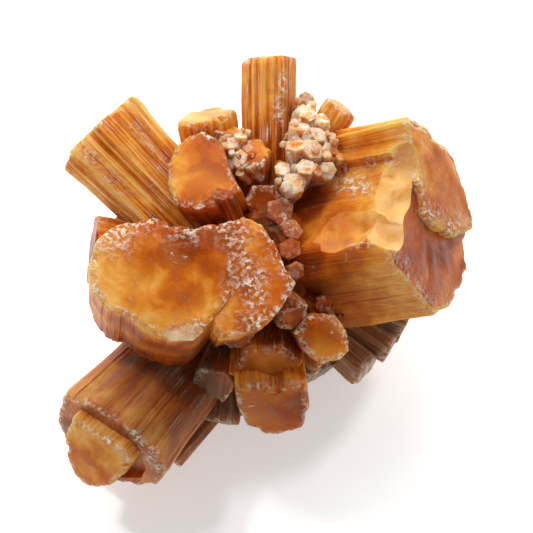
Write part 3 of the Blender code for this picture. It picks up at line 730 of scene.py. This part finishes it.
veil = addNode(tree, "ShaderNodeTexNoise", i0=at, Scale=look["veil"], Detail=1.5, Distortion=0.7)
patch = addNode(tree, "ShaderNodeTexNoise", i0=at, Scale=look["patch"], Detail=4.0, Roughness=0.6,
                Distortion=0.4)
speck = addNode(tree, "ShaderNodeTexNoise", i0=at, Scale=look["speck"], Detail=4.0, Roughness=0.6)
crumb = addNode(tree, "ShaderNodeTexVoronoi", i0=at, Scale=look["crumb"])
stretched = addNode(tree, "ShaderNodeMapping", i0=along, Scale=look["streak"])
streak = addNode(tree, "ShaderNodeTexNoise", i0=stretched, Scale=1.0, Detail=4.0, Roughness=0.6)
drawnOut = addNode(tree, "ShaderNodeMapping", i0=along, Scale=look["fineStreak"])
fineStreak = addNode(tree, "ShaderNodeTexNoise", i0=drawnOut, Scale=1.0, Detail=3.0, Roughness=0.6)
onSide = addNode(tree, "ShaderNodeMath", {"operation": "SUBTRACT"}, i0=1.0, i1=endFace)

# How deep the colour is: from the crystal's own tone, the veils, the streaks and the nearness of the heart
fromHeart = addNode(tree, "ShaderNodeVectorMath", {"operation": "DISTANCE"}, i0=at, i1=cluster["heart"])
deep = addNode(tree, "ShaderNodeMapRange", Value=fromHeart.outputs["Value"], From_Min=9.0, From_Max=21.0,
               To_Min=look["heartDepth"], To_Max=look["tipDepth"])
veiled = addNode(tree, "ShaderNodeMapRange", Value=veil, From_Min=0.3, From_Max=0.7,
                 To_Min=-look["veilStrength"], To_Max=look["veilStrength"])
patched = addNode(tree, "ShaderNodeMapRange", Value=patch, From_Min=0.3, From_Max=0.7,
                  To_Min=-look["patchStrength"], To_Max=look["patchStrength"])
streaked = addNode(tree, "ShaderNodeMapRange", Value=streak, From_Min=0.32, From_Max=0.68,
                   To_Min=-look["streakStrength"], To_Max=look["streakStrength"])
silky = addNode(tree, "ShaderNodeMath", {"operation": "MULTIPLY"}, i0=silk, i1=onSide)
streaked = addNode(tree, "ShaderNodeMath", {"operation": "MULTIPLY"}, i0=streaked, i1=silky)
depth = tone
for part in (deep, veiled, patched, streaked):
    depth = addNode(tree, "ShaderNodeMath", {"operation": "ADD"}, i0=depth, i1=part)
honey = addNode(tree, "ShaderNodeValToRGB", stops=[
    (0.0, "#f3bd6c"), (1.0, "#56240c"), (0.2, "#e79c38"), (0.42, "#d1701b"), (0.62, "#b24d0e"),
    (0.8, "#8a350b"),
], Fac=depth)

# Smoky crystals: grey-brown with lighter threads
smoky = addNode(tree, "ShaderNodeValToRGB", stops=[(0.32, "#6e5140"), (0.68, "#dccbb3"), (0.5, "#a98769")],
                Fac=streak)
smokeShare = addNode(tree, "ShaderNodeMath", {"operation": "MULTIPLY"}, i0=smoke, i1=look["smokeShare"])
colour = addNode(tree, "ShaderNodeMixRGB", Fac=smokeShare, Color1=honey, Color2=smoky)

# Milky clouds just under the surface
cloud = addNode(tree, "ShaderNodeMapRange", Value=patch, From_Min=0.52, From_Max=0.75,
                To_Min=0.0, To_Max=look["cloudShare"])
colour = addNode(tree, "ShaderNodeMixRGB", Fac=cloud, Color1=colour, Color2=linear(look["cloudColour"]))

# Pale threads along the prisms, on the raised crests of the fine ribs: partly the stone's own streaks,
# partly painted highlight
threadAndHighlight = addNode(tree, "ShaderNodeMapRange", Value=fineStreak, From_Min=0.54, From_Max=0.66,
                 To_Min=0.0, To_Max=look["threadAndHighlightShare"])
threadAndHighlight = addNode(tree, "ShaderNodeMath", {"operation": "MULTIPLY"}, i0=threadAndHighlight, i1=silky)
threadAndHighlightWhere = addNode(tree, "ShaderNodeMapRange", Value=patch, From_Min=0.42, From_Max=0.6)
threadAndHighlight = addNode(tree, "ShaderNodeMath", {"operation": "MULTIPLY"}, i0=threadAndHighlight, i1=threadAndHighlightWhere)
colour = addNode(tree, "ShaderNodeMixRGB", Fac=threadAndHighlight, Color1=colour, Color2=linear(look["threadAndHighlightColour"]))

# Cream to pink druse with rusty stains
stain = addNode(tree, "ShaderNodeTexNoise", i0=at, Scale=look["stain"], Detail=3.0, Roughness=0.6)
druse = addNode(tree, "ShaderNodeValToRGB", stops=[(0.34, "#c86f28"), (0.58, "#fff2e0"), (0.45, "#f4c391")],
                Fac=stain)
colour = addNode(tree, "ShaderNodeMixRGB", Fac=pale, Color1=colour, Color2=druse)

# White crust in specks and on the bruised rims, its near-white colour partly painted glint and sparkle
speckAndSparkleWhere = addNode(tree, "ShaderNodeMapRange", Value=patch, From_Min=0.6, From_Max=0.7)
speckAndSparkleMask = addNode(tree, "ShaderNodeMapRange", Value=speck, From_Min=0.57, From_Max=0.66)
speckAndSparkleMask = addNode(tree, "ShaderNodeMath", {"operation": "MULTIPLY"}, i0=speckAndSparkleMask, i1=speckAndSparkleWhere)
bruiseAndGlintMask = addNode(tree, "ShaderNodeMapRange", Value=speck, From_Min=0.46, From_Max=0.56)
bruiseAndGlintWhere = addNode(tree, "ShaderNodeMapRange", Value=patch, From_Min=0.4, From_Max=0.55, To_Min=0.15)
bruiseAndGlintMask = addNode(tree, "ShaderNodeMath", {"operation": "MULTIPLY"}, i0=bruiseAndGlintMask, i1=bruiseAndGlintWhere)
bruiseAndGlintMask = addNode(tree, "ShaderNodeMath", {"operation": "MULTIPLY", "use_clamp": True},
                     i0=bruiseAndGlintMask, i1=bruiseAndGlint)
crustAndGlintMask = addNode(tree, "ShaderNodeMath", {"operation": "MAXIMUM"}, i0=speckAndSparkleMask, i1=bruiseAndGlintMask)
crustShare = addNode(tree, "ShaderNodeMath", {"operation": "MULTIPLY"}, i0=crustAndGlintMask,
                     i1=look["crustShare"])
colour = addNode(tree, "ShaderNodeMixRGB", Fac=crustShare, Color1=colour,
                 Color2=linear(look["crustColour"]))

# The crust glints, and hides how clear the stone is
glint = addNode(tree, "ShaderNodeMapRange", Value=crustAndGlintMask, To_Min=1.0, To_Max=look["crustRoughness"])
rough = addNode(tree, "ShaderNodeMapRange", Value=onSide, To_Min=look["endRoughness"],
                To_Max=look["sideRoughness"])
rough = addNode(tree, "ShaderNodeMath", {"operation": "MULTIPLY"}, i0=rough, i1=glint)
cloudy = addNode(tree, "ShaderNodeMath", {"operation": "MAXIMUM"}, i0=crustAndGlintMask, i1=pale)
clear = addNode(tree, "ShaderNodeMapRange", Value=cloudy, To_Min=look["clearness"], To_Max=0.0)

# Fine ribs along the prisms, a faint unevenness on the ends, and sharp little facets on the bruised crust
# and its painted glints
ribs = addNode(tree, "ShaderNodeMath", {"operation": "MULTIPLY"}, i0=fineStreak, i1=onSide)
bump = addNode(tree, "ShaderNodeBump", Height=veil, Distance=look["veilHeight"], Strength=0.22)
bump = addNode(tree, "ShaderNodeBump", Height=ribs, Distance=look["ribHeight"], Strength=0.9,
               Normal=bump)
bump = addNode(tree, "ShaderNodeBump", Height=speck, Distance=look["speckHeight"], Strength=0.5,
               Normal=bump)
facets = addNode(tree, "ShaderNodeMath", {"operation": "MULTIPLY"}, i0=crumb.outputs["Distance"],
                 i1=crustAndGlintMask)
bump = addNode(tree, "ShaderNodeBump", Height=facets, Distance=look["facetHeight"], Strength=1.0,
               Normal=bump)

shader = addNode(tree, "ShaderNodeBsdfPrincipled", Base_Color=colour, Roughness=rough, Normal=bump,
                 IOR=look["refraction"], Transmission_Weight=clear, Subsurface_Weight=look["glow"],
                 Subsurface_Scale=look["glowReach"], Subsurface_Radius=look["glowColours"],
                 Specular_IOR_Level=look["shine"], Specular_Tint=linear(look["shineColour"]))
addNode(tree, "ShaderNodeOutputMaterial", Surface=shader)
joinedMesh.materials.clear()
joinedMesh.materials.append(material)

print("Stage, light and camera")
stage = {
    "size": 0.8,
    "colour": "#ffffff",
    "roughness": 0.8,
    "glow": 0.4,        # lifts the shadow under the cluster
    "sky": 0.3,
    "aim": Vector((0, 0, 0.012)),
}
bm = bmesh.new()
bmesh.ops.create_grid(bm, x_segments=1, y_segments=1, size=stage["size"] / 2)
floorMesh = bpy.data.meshes.new("floor")
bm.to_mesh(floorMesh)
bm.free()
floor = bpy.data.objects.new("floor", floorMesh)
bpy.context.scene.collection.objects.link(floor)
# White paper: matt and even, with no grain that shows at this distance
paleFloor = bpy.data.materials.new("white paper")
paleFloor.use_nodes = True
paper = paleFloor.node_tree.nodes["Principled BSDF"]
paper.inputs["Base Color"].default_value = linear(stage["colour"])
paper.inputs["Roughness"].default_value = stage["roughness"]
paper.inputs["Emission Color"].default_value = linear(stage["colour"])
paper.inputs["Emission Strength"].default_value = stage["glow"]
floorMesh.materials.append(paleFloor)

lights = {
    "back": dict(place=(-0.04, 0.36, 0.32), size=0.40, power=1.95),
    "left": dict(place=(-0.24, 0.16, 0.40), size=0.05, power=0.8),
    "right": dict(place=(0.26, 0.22, 0.36), size=0.05, power=0.7),
}
for name, entry in lights.items():
    light = bpy.data.lights.new(name, "AREA")
    light.shape = "SQUARE"
    light.size = entry["size"]
    light.energy = entry["power"]
    lamp = bpy.data.objects.new(name, light)
    lamp.location = entry["place"]
    lamp.rotation_euler = (stage["aim"] - lamp.location).to_track_quat("-Z", "Y").to_euler()
    bpy.context.scene.collection.objects.link(lamp)
world = bpy.data.worlds.new("studio")
bpy.context.scene.world = world
world.use_nodes = True
sky = world.node_tree.nodes["Background"]
sky.inputs["Color"].default_value = linear(stage["colour"])
sky.inputs["Strength"].default_value = stage["sky"]
bpy.context.scene.view_settings.view_transform = "Standard"

# The photograph's viewing angle, with the frame drawn in to this one cluster
camera = {"elevation": 68, "distance": 0.184, "halfWidth": 0.028, "shift": (0.01875, -0.00625)}
lens = bpy.data.cameras.new("camera")
lens.sensor_width = 36
lens.lens = lens.sensor_width / 2 * camera["distance"] / camera["halfWidth"]
lens.shift_x, lens.shift_y = camera["shift"]
eye = bpy.data.objects.new("camera", lens)
tilt = math.radians(camera["elevation"])
away = Vector((0, -math.cos(tilt), math.sin(tilt)))
eye.location = cluster["heart"] * mm + away * camera["distance"]
eye.rotation_euler = (-away).to_track_quat("-Z", "Y").to_euler()
bpy.context.scene.collection.objects.link(eye)
bpy.context.scene.camera = eye

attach(body, "root")
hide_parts("aragonite_cluster")
